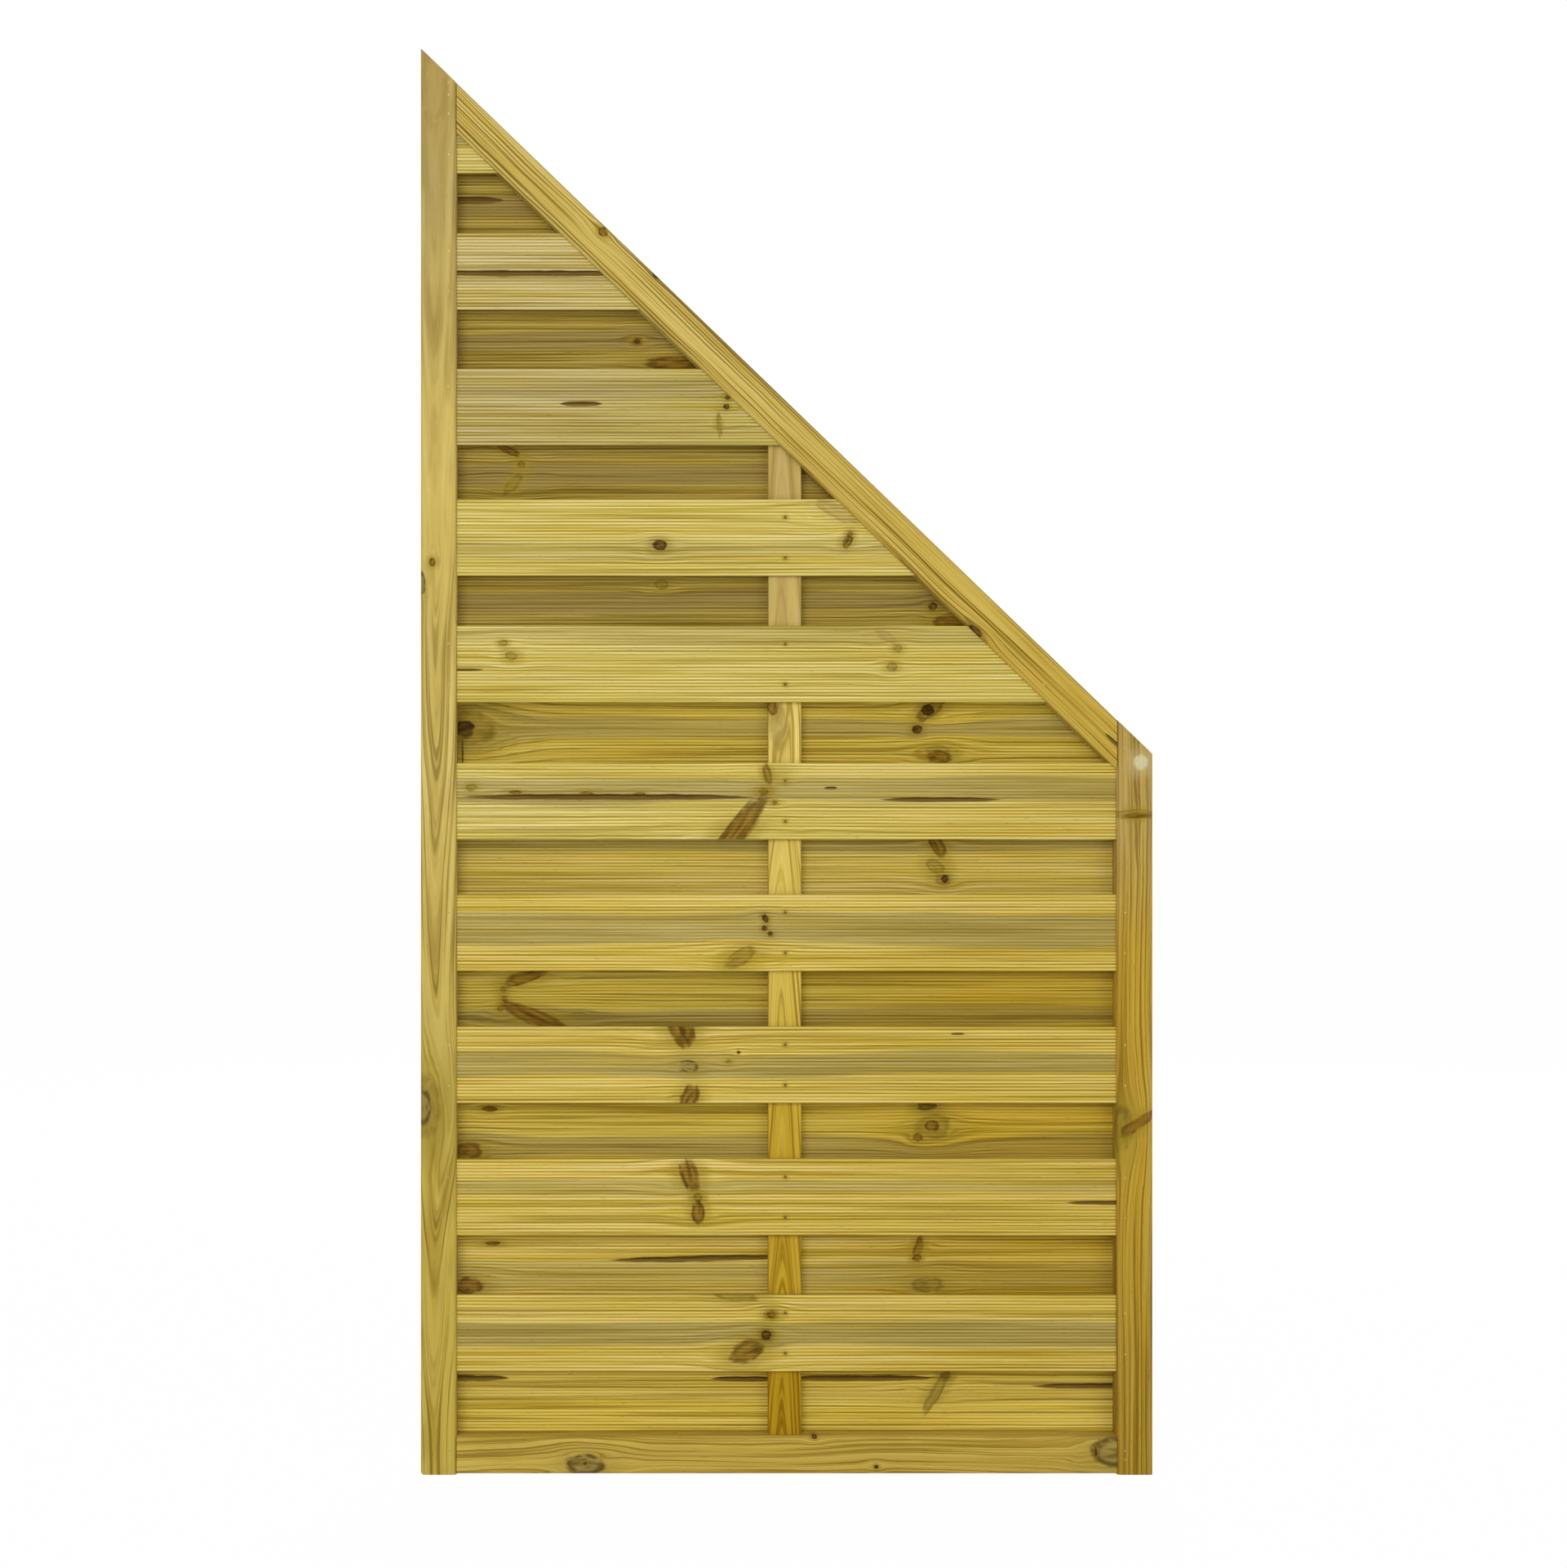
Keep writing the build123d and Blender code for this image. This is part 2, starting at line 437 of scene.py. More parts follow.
class ShaderTree:
    """One material's nodes, added by plain calls and expressions."""

    def __init__(self, owner: Union[bpy.types.Material, bpy.types.World]) -> None:
        """Start from an empty tree.

        Args:
            owner: The material or world that the nodes belong to.
        """
        owner.use_nodes = True
        self.nodes = owner.node_tree.nodes
        self.links = owner.node_tree.links
        self.nodes.clear()

    def node(
        self,
        kind: str,
        settings: Optional[Mapping[str, object]] = None,
        inputs: Optional[Mapping[Union[int, str], Value]] = None,
    ) -> bpy.types.Node:
        """Add a node.

        Args:
            kind: The node's type name.
            settings: Its properties, which are set first.
            inputs: Values or links of its sockets, by name or number.

        Returns:
            The new node.
        """
        node = self.nodes.new(kind)
        for name, setting in (settings or {}).items():
            setattr(node, name, setting)
        for key, value in (inputs or {}).items():
            if isinstance(value, Field):
                self.links.new(value.socket, node.inputs[key])
            else:
                node.inputs[key].default_value = value
        return node

    def field(
        self,
        kind: str,
        settings: Optional[Mapping[str, object]] = None,
        inputs: Optional[Mapping[Union[int, str], Value]] = None,
        output: Union[int, str] = 0,
    ) -> Field:
        """Add a node and wrap one of its outputs.

        Args:
            kind: The node's type name.
            settings: Its properties.
            inputs: Values or links of its sockets.
            output: The output to wrap, by name or number.

        Returns:
            The wrapped output.
        """
        return Field(self, self.node(kind, settings, inputs).outputs[output])

    def mix(
        self, share: Value, first: Union[Field, Rgb], second: Union[Field, Rgb], blend: str = "MIX"
    ) -> Field:
        """Blend two colours.

        Args:
            share: How much of the second colour shows.
            first: The colour below.
            second: The colour above.
            blend: How the second colour acts on the first.

        Returns:
            The blended colour.
        """
        ends = [tone if isinstance(tone, Field) else (*tone, 1.0) for tone in (first, second)]
        inputs = {0: share, 6: ends[0], 7: ends[1]}
        return self.field("ShaderNodeMix", {"data_type": "RGBA", "blend_type": blend}, inputs, 2)

    def local(self, place: Field, origin: Sequence[float], turn: float, unit: Sequence[float]) -> Field:
        """Measure a place from an origin, along turned axes, in units of its own.

        Args:
            place: The place to measure.
            origin: Where the measuring starts.
            turn: Turn of the axes about the depth axis, in radians.
            unit: Length of one unit along each axis.

        Returns:
            The place in the new measure.
        """
        inputs = {"Vector": place, "Location": origin, "Rotation": (0.0, turn, 0.0), "Scale": unit}
        return self.field("ShaderNodeMapping", {"vector_type": "TEXTURE"}, inputs)

    def parts(self, place: Field) -> tuple[Field, Field, Field]:
        """Return the three numbers of a vector."""
        node = self.node("ShaderNodeSeparateXYZ", inputs={0: place})
        return Field(self, node.outputs[0]), Field(self, node.outputs[1]), Field(self, node.outputs[2])

    def square(self, place: Field) -> Field:
        """Return the squared length of a vector."""
        return self.field("ShaderNodeVectorMath", {"operation": "DOT_PRODUCT"}, {0: place, 1: place}, 1)

    def noise(self, place: Field, figure: Figure, seed: float = 0.0) -> Field:
        """Add smooth noise that is stretched along the axes of a place.

        Args:
            place: Where the noise is read.
            figure: The size of its features, its own seed and its detail.
            seed: A number that moves the noise elsewhere.

        Returns:
            The noise, about 0.5 on average.
        """
        shift = seed + figure.seed
        offset = [step * shift + start for step, start in zip(SEED_STEP, SEED_START)]
        scale = [1.0 / size for size in figure.stretch]
        inputs = {"Vector": place, "Location": offset, "Scale": scale}
        moved = self.field("ShaderNodeMapping", {"vector_type": "POINT"}, inputs)
        reading = {"Vector": moved, "Scale": 1.0, "Detail": figure.detail}
        return self.field("ShaderNodeTexNoise", None, reading)


@dataclass
class Timber:
    """One piece of timber: a node of the model, its finish, its grain and its faults."""

    node: str
    lay: Lay
    origin: Triple
    finish: Pine
    seed: float
    shade: float = 1.0
    grain: Grain = field(default_factory=Grain)
    knots: Sequence[Knot] = ()
    cracks: Sequence[Crack] = ()
    drifts: Sequence[Drift] = ()
    rib_pitch: float = SLAT_HEIGHT / SLAT_RIBS

    def dress(self) -> None:
        """Give the node its own treated pine."""
        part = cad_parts[self.node]
        material = self.material()
        part.data.materials.clear()
        part.data.materials.append(material)
        faults = (len(self.knots), len(self.cracks))
        LOG.info("%s: %s, %d knots, %d cracks", self.node, self.finish.name, *faults)

    def material(self) -> bpy.types.Material:
        """Build the piece's pine.

        Returns:
            The material.
        """
        material = bpy.data.materials.new(f"{self.node}_pine")
        tree = ShaderTree(material)
        spot = tree.field("ShaderNodeTexCoord", output="Object")
        start = [value * MM for value in self.origin]
        place = tree.local(spot, start, self.lay.value, (MM, MM, MM))
        along, depth, across = tree.parts(place)

        bent, knotty = self.bend(tree, place, across)
        ring = self.grain
        reach = abs(bent - ring.heart_across)
        radius = bent
        if ring.arch:
            bow = tree.noise(place, Wood.BOW.value, self.seed)
            rise = (reach ** 2.0 + ring.arch ** 2.0) ** 0.5
            radius = rise + along * ring.lean + (bow - MEAN) * RINGS.bow
        measure = {0: radius + depth * RINGS.slant, 1: along, 2: depth}
        year = tree.field("ShaderNodeCombineXYZ", None, measure)
        lines = tree.noise(year, ring.lines(), self.seed)
        if ring.fade:
            clear = along.ease(ring.fade[1], ring.fade[0]) * (1.0 - RINGS.faded) + RINGS.faded
            lines = (lines - MEAN) * clear + MEAN

        tone, dark, within = self.ringed(tree, place, year, reach, lines)
        tone = self.drifted(tree, along, tone)
        tone = self.knotted(tree, place, knotty, tone)
        tone, split = self.cracked(tree, place, tone)
        # The light on the ribs is painted into the colour: a highlight on the crests and shade in the
        # valleys.
        if self.finish.value.rib_share:
            followed = across * (1.0 - RIBS.follow) + bent * RIBS.follow
            tone = self.ribbed(tree, place, followed, within, tone)

        relief = {
            "Strength": SURFACE.bump,
            "Distance": SURFACE.bump_height,
            "Height": lines * RINGS.relief - split * SPLITS.relief,
        }
        bump = tree.field("ShaderNodeBump", None, relief, "Normal")
        inputs = {
            "Base Color": tone,
            "Roughness": dark * RINGS.dark_rough + self.finish.value.rough,
            "Normal": bump,
            "Specular IOR Level": SURFACE.specular,
        }
        surface = tree.field("ShaderNodeBsdfPrincipled", None, inputs)
        tree.node("ShaderNodeOutputMaterial", None, {"Surface": surface})
        return material

    def bend(self, tree: ShaderTree, place: Field, across: Field) -> tuple[Field, Field]:
        """Bend the grain: slow wavering, small ripples, and a bulge round every knot.

        Args:
            tree: The material's nodes.
            place: Place in the timber's measure.
            across: Place across the grain.

        Returns:
            The bent place across the grain, and how near the knots are.
        """
        waver = tree.noise(place, Wood.WAVER.value, self.seed)
        ripple = tree.noise(place, Wood.RIPPLE.value, self.seed)
        bent = across + (waver - MEAN) * self.grain.waver * 2.0
        knotty = (ripple - MEAN) * KNOTS.least_near
        for knot in self.knots:
            reach = knot.reach()
            near = tree.local(place, (knot.along, 0.0, knot.across), 0.0, reach)
            offset = tree.parts(near)[2]
            share = KNOTS.bend_fall ** tree.square(near)
            bent = bent - offset * reach[2] * knot.pull * share
            knotty = knotty.most(share)
        bent = bent + (ripple - MEAN) * (knotty * KNOTS.bend_ripple + 1.0) * self.grain.ripple * 2.0
        return bent, knotty

    def ringed(
        self, tree: ShaderTree, place: Field, year: Field, reach: Field, lines: Field
    ) -> tuple[Field, Field, Field]:
        """Colour the growth rings, the heartwood and the fibres.

        Args:
            tree: The material's nodes.
            place: Place in the timber's measure.
            year: Place by ring, length and depth.
            reach: Distance from the heart.
            lines: Noise that runs with the rings.

        Returns:
            The colour, how much late wood shows, and how far inside the heart it is.
        """
        finish = self.finish.value
        sap = shaded(finish.sap, self.shade)
        pale = shaded(finish.pale, self.shade)
        late = shaded(finish.late, self.shade)
        stain = shaded(finish.stain, self.shade)
        edge = tree.noise(year, Wood.HEART_EDGE.value, self.seed)
        inner = self.grain.heart_reach
        ragged = reach + (edge - MEAN) * RINGS.heart_wander + (lines - MEAN) * RINGS.heart_fray
        near = ragged.ease(inner + RINGS.heart_edge, inner - RINGS.heart_edge)
        within = near * finish.heart_share * self.grain.heart_depth
        tone = tree.mix(within, sap, shaded(finish.heart, self.shade))
        band = tree.noise(year, Wood.BAND.value, self.seed)
        calm = 1.0 - within * RINGS.heart_calm
        tone = tree.mix(band.ease(*RINGS.stained) * calm * RINGS.stain_share, tone, stain)
        tone = tree.mix(band.ease(*RINGS.bleached) * calm * RINGS.bleach_share, tone, pale)
        if finish.mottle_share:
            mottle = tree.noise(place, Wood.MOTTLE.value, self.seed)
            tone = tree.mix(mottle.ease(*RINGS.mottled) * finish.mottle_share, tone, stain)
        fibre = tree.noise(place, Wood.FIBRE.value, self.seed)
        light = lines.ease(*RINGS.light) * calm * finish.pale_share
        tone = tree.mix(light + (fibre - MEAN) * RINGS.light_fibre, tone, pale)
        dark = lines.ease(*RINGS.dark)
        tone = tree.mix(dark * finish.late_share + (MEAN - fibre) * RINGS.dark_fibre, tone, late)
        fleck = tree.noise(place, Wood.FLECK.value, self.seed)
        speck = shaded(late, RINGS.fleck_shade)
        tone = tree.mix(fleck.ease(*RINGS.flecked) * RINGS.fleck_share, tone, speck)
        return tone, dark, within

    def drifted(self, tree: ShaderTree, along: Field, tone: Field) -> Field:
        """Shade the timber towards other tones along its length.

        Args:
            tree: The material's nodes.
            along: Place along the grain.
            tone: The colour so far.

        Returns:
            The drifted colour.
        """
        sap = self.finish.value.sap
        for drift in self.drifts:
            share = along.ease(drift.start, drift.end) * drift.strength
            tint = (drift.tone[0] / sap[0], drift.tone[1] / sap[1], drift.tone[2] / sap[2])
            tone = tree.mix(share, tone, tint, "MULTIPLY")
        return tone

    def ribbed(self, tree: ShaderTree, place: Field, across: Field, within: Field, tone: Field) -> Field:
        """Paint the ribs' light into the colour: a painted highlight on the crests and painted shade, with
        some dust, in the valleys, stronger in patches.

        Args:
            tree: The material's nodes.
            place: Place in the timber's measure.
            across: Place across the ribs.
            within: How far inside the heart, where the ribs show less.
            tone: The colour so far.

        Returns:
            The colour with the painted highlight and shade of the ribs.
        """
        swing = abs((across / self.rib_pitch + RIBS_BELOW).fraction() - 0.5) * 2.0
        uneven = tree.noise(place, Wood.RIB_PATCHES.value, self.seed)
        patchiness = uneven.ease(*RIBS.patchy) * RIBS.patchy_share + RIBS.least_share
        grade = patchiness * (1.0 - within * RIBS.heart_calm) * self.finish.value.rib_share
        depth = (swing.ease(0.0, 1.0) - 0.5) * grade
        # Painted highlight on the crests and painted shade with some dust in the valleys.
        crest_highlight = tree.mix(1.0, tone, RIBS.crest_highlight, "MULTIPLY")
        valley_shade_and_dust = tree.mix(1.0, tone, RIBS.valley_shade_and_dust, "MULTIPLY")
        return tree.mix(depth + 0.5, crest_highlight, valley_shade_and_dust)

    def knotted(self, tree: ShaderTree, place: Field, knotty: Field, tone: Field) -> Field:
        """Set the knots into the colour.

        Args:
            tree: The material's nodes.
            place: Place in the timber's measure.
            knotty: How near the knots are.
            tone: The colour so far.

        Returns:
            The knotted colour.
        """
        uneven = tree.noise(place, Wood.KNOT_WEAR.value, self.seed)
        for knot in self.knots:
            unit = (knot.long_radius, knot.depth, knot.short_radius)
            near = tree.local(place, (knot.along, FRONT_FACE, knot.across), knot.tilt, unit)
            streak = uneven
            if knot.long_radius > KNOTS.streaked_radius:
                streak = tree.noise(near, knot.streak(), self.seed)
            reach = tree.square(near) ** 0.5 + (streak - MEAN) * KNOTS.uneven
            finish = knot.kind.value
            halo = knotty.ease(*KNOTS.halo_near) * reach.ease(*KNOTS.halo)
            tone = tree.mix(halo * finish.halo_share, tone, finish.halo)
            grained = tree.mix(streak.ease(*KNOTS.streaks) * KNOTS.streak_share, finish.rim, finish.core)
            patchiness = streak.ease(*KNOTS.patchy) * KNOTS.patchy_share + (1.0 - KNOTS.patchy_share)
            core = reach.ease(*KNOTS.core) * patchiness
            tone = tree.mix(core * finish.core_share, tone, grained)
            rim = reach.ease(*KNOTS.rim_inside) * reach.ease(*KNOTS.rim_outside)
            rim = rim * uneven.ease(*KNOTS.rim_breaks)
            tone = tree.mix(rim * finish.rim_share, tone, finish.rim)
        return tone

    def cracked(self, tree: ShaderTree, place: Field, tone: Field) -> tuple[Field, Field]:
        """Set the splits into the colour as painted shade, with a darker painted shadow along one side.

        Args:
            tree: The material's nodes.
            place: Place in the timber's measure.
            tone: The colour so far.

        Returns:
            The cracked colour, and how far the wood is open.
        """
        frayed = tree.noise(place, Wood.FRAY.value, self.seed)
        split = frayed * SPLITS.floor
        for crack in self.cracks:
            middle = (0.5 * (crack.start + crack.end), 0.0, crack.across)
            unit = (0.5 * (crack.end - crack.start), IGNORED, 0.5 * crack.width)
            near = tree.local(place, middle, crack.tilt, unit)
            length, _, rise = tree.parts(near)
            rise = rise + (frayed - MEAN) * SPLITS.fray
            gap = (abs(rise) + length ** SPLITS.taper).ease(*SPLITS.lens)
            split = split.most(gap)
            # Painted shade inside the split, then a painted shadow along one side.
            tone = tree.mix(gap * SPLITS.split_shade_share, tone, SPLITS.split_shade_tone)
            tone = tree.mix(gap * rise.ease(*SPLITS.shadow_side) * SPLITS.split_shadow_share, tone, SPLITS.split_shadow_tone)
        return tone, split


def front(row: int, height: float, finish: Pine = Pine.PALE_SLAT, **looks: object) -> Timber:
    """Return a front slat, whose grain is measured from its own middle."""
    origin = (0.0, -SLAT_MIDDLE, height)
    return Timber(f"front_slat_{row:02d}", Lay.LEVEL, origin, finish, FRONT_SEED + row, **looks)


def back(row: int, height: float, finish: Pine = Pine.BACK_SLAT, **looks: object) -> Timber:
    """Return a back slat, whose grain is measured from its own middle."""
    origin = (0.0, SLAT_MIDDLE, height)
    return Timber(f"back_slat_{row:02d}", Lay.LEVEL, origin, finish, BACK_SEED + row, **looks)


def shallow(*sizes: float, **looks: object) -> Knot:
    """Return a knot of the frame, which reaches a little way in from the front face."""
    return Knot(*sizes, depth=SHALLOW, **looks)


@dataclass
class SlatLayer:
    """The slats of one layer, top row first."""

    slats: Sequence[Timber]

    def dress(self) -> None:
        """Dress every slat."""
        for slat in self.slats:
            slat.dress()


@dataclass
class PanelFrame:
    """The two stiles, the sloped top rail and the sill, with the batten between the slat layers."""

    timbers: Sequence[Timber]

    def dress(self) -> None:
        """Dress every timber."""
        for timber in self.timbers:
            timber.dress()


@dataclass(frozen=True)
class WireFinish:
    """Dull wire of the brads, smeared unevenly over lengths in metres."""

    bright: Rgb
    dull: Rgb
    metallic: float = 0.6
    rough: float = 0.45
    smear_rough: float = 0.2
    smeared: Span = (0.35, 0.65)
    smear: Figure = Figure((0.0008, 0.0008, 0.0008), 3.0, 2.0)

    def material(self, name: str) -> bpy.types.Material:
        """Build the wire's metal.

        Args:
            name: The material's name.

        Returns:
            The material.
        """
        material = bpy.data.materials.new(name)
        tree = ShaderTree(material)
        spot = tree.field("ShaderNodeTexCoord", output="Object")
        smear = tree.noise(spot, self.smear)
        inputs = {
            "Base Color": tree.mix(smear.ease(*self.smeared), self.bright, self.dull),
            "Metallic": self.metallic,
            "Roughness": smear * self.smear_rough + self.rough,
        }
        surface = tree.field("ShaderNodeBsdfPrincipled", None, inputs)
        tree.node("ShaderNodeOutputMaterial", None, {"Surface": surface})
        return material


@dataclass
class Brads:
    """The brads of the frame and of the batten."""

    frame_wire: WireFinish = WireFinish(srgb(206, 186, 120), srgb(150, 126, 70))
    batten_wire: WireFinish = WireFinish(srgb(92, 84, 56), srgb(56, 48, 28))

    def dress(self) -> None:
        """Dress every group of brads."""
        bright = self.frame_wire.material("frame_brad_wire")
        dark = self.batten_wire.material("batten_brad_wire")
        for group, wire in (
            ("left_stile_brads", bright),
            ("right_stile_brads", bright),
            ("top_rail_brads", bright),
            ("corner_brads", bright),
            ("batten_brads", dark),
        ):
            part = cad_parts[group]
            part.data.materials.clear()
            part.data.materials.append(wire)
            LOG.info("%s: %s", group, wire.name)


@dataclass(frozen=True)
class Lamp:
    """One soft square lamp, with its place, its target and its side in metres and its power in watts."""

    name: str
    place: Triple
    target: Triple
    power: float
    side: float = 2.6

    def build(self) -> None:
        """Hang the lamp."""
        light = bpy.data.lights.new(self.name, "AREA")
        light.shape = "SQUARE"
        light.size = self.side
        light.energy = self.power
        lamp = bpy.data.objects.new(self.name, light)
        lamp.location = self.place
        aim = Vector(self.target) - Vector(self.place)
        lamp.rotation_euler = aim.to_track_quat("-Z", "Y").to_euler()
        bpy.context.scene.collection.objects.link(lamp)


@dataclass
class Studio:
    """The plain pale floor, the soft light and the camera."""

    eye: Triple = (-0.265, -3.822, 0.880)
    image: tuple[int, int] = (1920, 1921)
    eye_pixel: tuple[float, float] = (700.0, 930.0)
    millimetres_per_pixel: float = 1.0035
    eye_to_front: float = 3.8
    sensor: float = 36.0
    farthest: float = 200.0
    ambient: float = 0.45
    floor_size: float = 60.0
    floor_glow: float = 0.985
    floor_tone: tuple[float, float, float, float] = (0.86, 0.86, 0.86, 1.0)
    lamps: Sequence[Lamp] = (
        Lamp("key", (-1.4, -4.6, 2.6), (0.0, 0.0, 0.9), 122.0),
        Lamp("fill", (2.6, -4.2, 1.6), (0.0, 0.0, 0.8), 34.0),
        Lamp("back", (1.0, 4.8, 2.6), (0.0, 0.0, 0.9), 120.0),
    )

    def build(self) -> None:
        """Build the camera, the world, the floor and the lamps."""
        self.build_camera()
        self.build_world()
        self.build_floor()
        for lamp in self.lamps:
            lamp.build()

    def build_camera(self) -> None:
        """Place the camera where the photograph was taken from, with the shift of its framing."""
        width, height = self.image
        span = height * self.millimetres_per_pixel * MM
        lens = bpy.data.cameras.new("camera")
        lens.sensor_width = self.sensor
        lens.lens = self.sensor * self.eye_to_front / span
        lens.shift_x = (width / 2.0 - self.eye_pixel[0]) / height
        lens.shift_y = (self.eye_pixel[1] - height / 2.0) / height
        lens.clip_end = self.farthest
        camera = bpy.data.objects.new("camera", lens)
        camera.location = self.eye
        camera.rotation_euler = (math.pi / 2, 0.0, 0.0)
        bpy.context.scene.collection.objects.link(camera)
        bpy.context.scene.camera = camera

    def seen(self, tree: ShaderTree) -> Field:
        """Return 1 for the rays that show the background itself."""
        path = tree.node("ShaderNodeLightPath")
        rays = [Field(tree, path.outputs[f"Is {ray} Ray"]) for ray in ("Camera", "Glossy", "Transmission")]
        return rays[0].most(rays[1]).most(rays[2])

    def build_world(self) -> None:
        """Make a white background that lights the panel softly."""
        world = bpy.data.worlds.new("studio")
        bpy.context.scene.world = world
        tree = ShaderTree(world)
        strength = self.seen(tree) * (1.0 - self.ambient) + self.ambient
        light = tree.field("ShaderNodeBackground", None, {"Color": WHITE, "Strength": strength})
        tree.node("ShaderNodeOutputWorld", None, {"Surface": light})

    def build_floor(self) -> None:
        """Lay a plain white floor that keeps a faint shadow."""
        shape = bmesh.new()
        bmesh.ops.create_grid(shape, x_segments=1, y_segments=1, size=self.floor_size / 2.0)
        mesh = bpy.data.meshes.new("floor")
        shape.to_mesh(mesh)
        shape.free()
        floor = bpy.data.objects.new("floor", mesh)
        bpy.context.scene.collection.objects.link(floor)
        material = bpy.data.materials.new("floor_white")
        tree = ShaderTree(material)
        matt = tree.field("ShaderNodeBsdfDiffuse", None, {"Color": self.floor_tone})
        glow = tree.field("ShaderNodeEmission", None, {"Color": WHITE, "Strength": 1.0})
        blend = {0: self.seen(tree) * self.floor_glow, 1: matt, 2: glow}
        surface = tree.field("ShaderNodeMixShader", None, blend)
        tree.node("ShaderNodeOutputMaterial", None, {"Surface": surface})
        mesh.materials.append(material)


BLACK = KnotKind.BLACK
GREEN = KnotKind.GREEN
GREY = KnotKind.GREY
FAINT = KnotKind.FAINT
RESIN = KnotKind.RESIN

COOL_LEFT = (Drift(srgb(206, 184, 106), 0.0, -300.0, 0.8),)
LATE_RIGHT = (Drift(srgb(190, 162, 60), -120.0, 420.0, 0.5),)
WARM_RIGHT = (Drift(srgb(182, 148, 34), -40.0, 260.0, 0.7),)
NAILS = tuple(Knot(-1.5, rise, 2.2, 2.0, kind=GREEN, pull=0.0) for rise in (-25.0, 25.0))

FRONT_SLATS = SlatLayer([
    # Darker overall as painted shade of the narrow corner under the sloped rail.
    front(1, 1648.4, shade=0.84),
    front(2, 1480.6, shade=0.81, grain=Grain(-2.0, 10.0, 0.5), drifts=COOL_LEFT,
          cracks=[Crack(-440.0, -205.0, -2.6, 5.2)]),
    front(3, 1313.7, shade=0.73, grain=Grain(22.0, 11.0, 0.6), drifts=COOL_LEFT,
          cracks=[Crack(-277.0, -229.0, 3.7, 4.3)],
          knots=[Knot(-72.0, 12.0, 3.5, 2.8, kind=BLACK), Knot(-74.0, 0.0, 3.2, 2.8, kind=BLACK),
                 Knot(-83.0, -22.0, 14.0, 3.0, 1.5, GREEN, 0.2)]),
    front(4, 1152.8, shade=0.92, grain=Grain(-14.0, 9.0, 0.55),
          knots=[*NAILS, Knot(-156.0, -9.2, 8.0, 5.5, kind=BLACK), Knot(78.5, 4.3, 3.2, 3.0, kind=BLACK),
                 Knot(75.0, -5.3, 8.0, 5.0, -1.1), Knot(62.0, 32.0, 26.0, 8.0, 0.5, FAINT, 1.0)]),
    front(5, 997.0, shade=0.91, grain=Grain(36.0, 10.0, 0.6), cracks=[Crack(-425.0, -375.0, -7.0, 2.2)],
          knots=[*NAILS, Knot(-349.0, 26.0, 5.0, 3.5, kind=GREEN), Knot(-339.0, 10.0, 7.0, 5.0, kind=GREEN),
                 Knot(136.7, 19.7, 5.0, 4.0, kind=GREEN), Knot(130.0, -3.0, 6.0, 5.0, kind=GREEN),
                 Knot(123.0, 34.0, 14.0, 5.0, 0.5, FAINT, 0.5)]),
    front(6, 828.1, shade=0.95, grain=Grain(14.0, 14.0), drifts=LATE_RIGHT,
          knots=[*NAILS, Knot(-388.0, 17.0, 6.0, 4.0, kind=GREEN), Knot(-24.0, 34.0, 12.0, 4.5, 1.3),
                 Knot(-334.0, 11.0, 7.0, 2.0), Knot(-247.0, 10.0, 8.0, 2.0), Knot(-181.0, 9.0, 7.0, 2.0),
                 Knot(-28.0, 12.0, 5.0, 3.5, kind=BLACK), Knot(-14.5, -1.5, 2.5, 2.0, kind=BLACK),
                 Knot(-68.0, -46.0, 62.0, 12.0, -0.9, pull=0.3)],
          cracks=[Crack(-390.0, -54.0, 5.0, 5.0), Crack(122.0, 258.0, 2.0, 3.6),
                  Crack(47.0, 62.0, 16.5, 2.2)]),
    front(7, 666.2, Pine.GOLD_SLAT, shade=0.97, grain=Grain(4.0, 19.0), drifts=LATE_RIGHT,
          knots=[*NAILS, Knot(-26.0, 17.7, 5.0, 3.2, 1.0, BLACK), Knot(-27.0, 5.3, 3.2, 2.8, kind=BLACK),
                 Knot(-20.0, -1.3, 2.8, 2.5, kind=BLACK), Knot(-57.0, -30.0, 20.0, 9.0, -0.5, GREEN)]),
    front(8, 503.4, Pine.GOLD_SLAT, shade=0.97, grain=Grain(1.0, 13.0), drifts=LATE_RIGHT,
          cracks=[Crack(203.0, 219.0, 38.0, 1.8)],
          knots=[*NAILS, Knot(-130.0, 44.0, 21.0, 13.0, 1.22, pull=0.6),
                 Knot(-121.0, -2.0, 11.0, 7.0, kind=GREY), Knot(-120.0, -43.0, 17.0, 10.0, -1.2, pull=0.6),
                 Knot(-59.0, 15.5, 1.6, 1.4, kind=BLACK), Knot(-71.0, 4.0, 3.5, 2.5, kind=GREEN)]),
    front(9, 340.5, Pine.GOLD_SLAT, shade=0.96, grain=Grain(14.0, 9.0, 0.7), drifts=LATE_RIGHT,
          cracks=[Crack(349.0, 440.0, -7.0, 3.4)],
          knots=[*NAILS, Knot(-119.0, 27.0, 18.0, 10.0, 1.25), Knot(-109.0, 0.0, 5.0, 4.5),
                 Knot(-109.0, -19.0, 13.0, 7.0, 1.5)]),
    front(10, 173.1, Pine.GOLD_SLAT, shade=0.96, grain=Grain(-1.0, 14.0), drifts=LATE_RIGHT,
          knots=[*NAILS, Knot(-62.0, 45.0, 24.0, 5.0, 0.1, GREEN, 0.3), Knot(-49.0, -23.0, 20.0, 12.0, -0.4),
                 Knot(-18.5, 23.0, 8.0, 6.0, kind=GREEN), Knot(-18.5, 23.0, 5.0, 4.0),
                 Knot(-25.0, -2.3, 9.0, 7.0, kind=GREEN), Knot(-25.0, -2.3, 5.5, 5.0, kind=BLACK)]),
])

